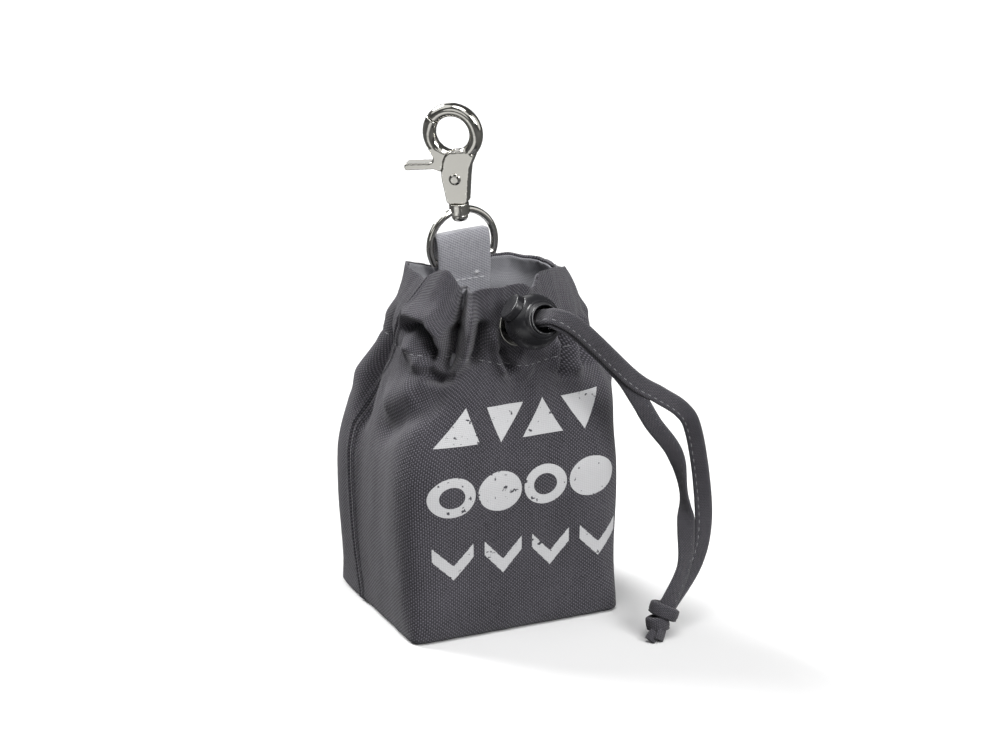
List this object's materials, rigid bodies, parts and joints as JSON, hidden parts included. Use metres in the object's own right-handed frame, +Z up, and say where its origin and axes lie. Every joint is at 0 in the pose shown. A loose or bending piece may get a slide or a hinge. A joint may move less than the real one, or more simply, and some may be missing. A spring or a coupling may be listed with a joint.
{
  "type": "treat pouch",
  "caption": "Drawstring canvas treat pouch on a boxed base, with a webbing tab, a swivel trigger hook and a sprung ball cord lock.",
  "frame": {"origin": "centre of the base on the floor", "axes": "+Z up through the mouth, -Y out of the front panel where the cord lock sits, +X towards the side the cord tail hangs on"},
  "size_m": [0.1172, 0.1154, 0.1996],
  "materials": {
    "canvas": "matte plain weave",
    "lining": "matte fine weave",
    "webbing": "matte herringbone webbing",
    "cord": "matte folded and stitched canvas",
    "thread": "satin thread",
    "nickel": "polished nickel plate",
    "spring_steel": "bright drawn wire",
    "lock_plastic": "satin moulded plastic"
  },
  "bodies": {
    "pouch": {"front_panel": "canvas", "back_panel": "canvas", "base_panel": "canvas", "lining": "lining", "side_seam_stitching": "thread", "channel_stitching": "thread", "webbing_tab": "webbing", "tab_stitching": "thread", "eyelet_barrel": "nickel", "eyelet_washer": "nickel", "drawcord": "cord"},
    "ring": {"swivel_ring": "nickel"},
    "hook": {"hook_body": "nickel", "hook_rivet": "nickel", "hook_spring": "spring_steel"},
    "trigger": {"hook_trigger": "nickel"},
    "lock": {"lock_body": "lock_plastic", "lock_spring": "spring_steel"},
    "plunger": {"lock_plunger": "lock_plastic"},
    "tail": {"cord_tail_outer": "cord", "cord_tail_inner": "cord", "cord_stitching": "thread", "cord_knot": "cord"}
  },
  "joints": [
    {"name": "ring_tilt", "type": "hinge", "parent": "pouch", "child": "ring", "pos_m": [0.004, 0.021, 0.136], "axis": [0.9962, 0, 0.0872], "range_deg": [-70, 70]},
    {"name": "hook_swivel", "type": "hinge", "parent": "ring", "child": "hook", "pos_m": [0.004, 0.021, 0.136], "axis": [-0.0872, 0, 0.9962], "continuous": true},
    {"name": "trigger_open", "type": "hinge", "parent": "hook", "child": "trigger", "pos_m": [0.00109, 0.021, 0.16927], "axis": [-0.6666, -0.7431, -0.0583], "range_deg": [0, 28], "stiffness_Nm_per_rad": 0.05, "deforming": ["hook_spring"]},
    {"name": "lock_slide", "type": "slide", "parent": "pouch", "child": "lock", "axis": [0.0777, -0.9259, 0.3697], "range_m": [0, 0.012]},
    {"name": "plunger_press", "type": "slide", "parent": "lock", "child": "plunger", "axis": [0.7767, -0.1762, -0.6047], "range_m": [0, 0.002], "stiffness_N_per_m": 400, "deforming": ["lock_spring"]},
    {"name": "tail_swing", "type": "hinge", "parent": "lock", "child": "tail", "pos_m": [0.00432, -0.05254, 0.13193], "axis": [0, 0, 1], "range_deg": [-50, 10]}
  ]
}
